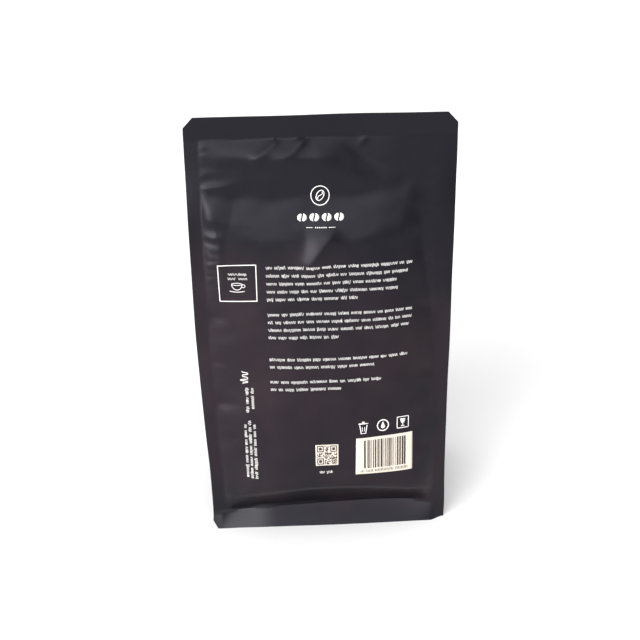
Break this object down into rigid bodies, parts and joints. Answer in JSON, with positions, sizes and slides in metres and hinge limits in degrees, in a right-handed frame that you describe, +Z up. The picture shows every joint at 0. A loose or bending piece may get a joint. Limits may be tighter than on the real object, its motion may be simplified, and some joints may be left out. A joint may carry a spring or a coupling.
{
  "type": "coffee bag",
  "caption": "Shut stand-up pouch of coffee in matte black film, with a heat-sealed header, side fins, side folds and a flat base between two flared foot seals.",
  "frame": {"origin": "on the table, at the middle of the bag's footprint", "axes": "+Z up to the header, +X to the right across the printed front, +Y from the printed front to the back"},
  "size_m": [0.1374, 0.0882, 0.228],
  "materials": {
    "film": "matte black laminate film with a soft sheen"
  },
  "bodies": {
    "root": {"coffee_bag": "film"}
  },
  "joints": []
}
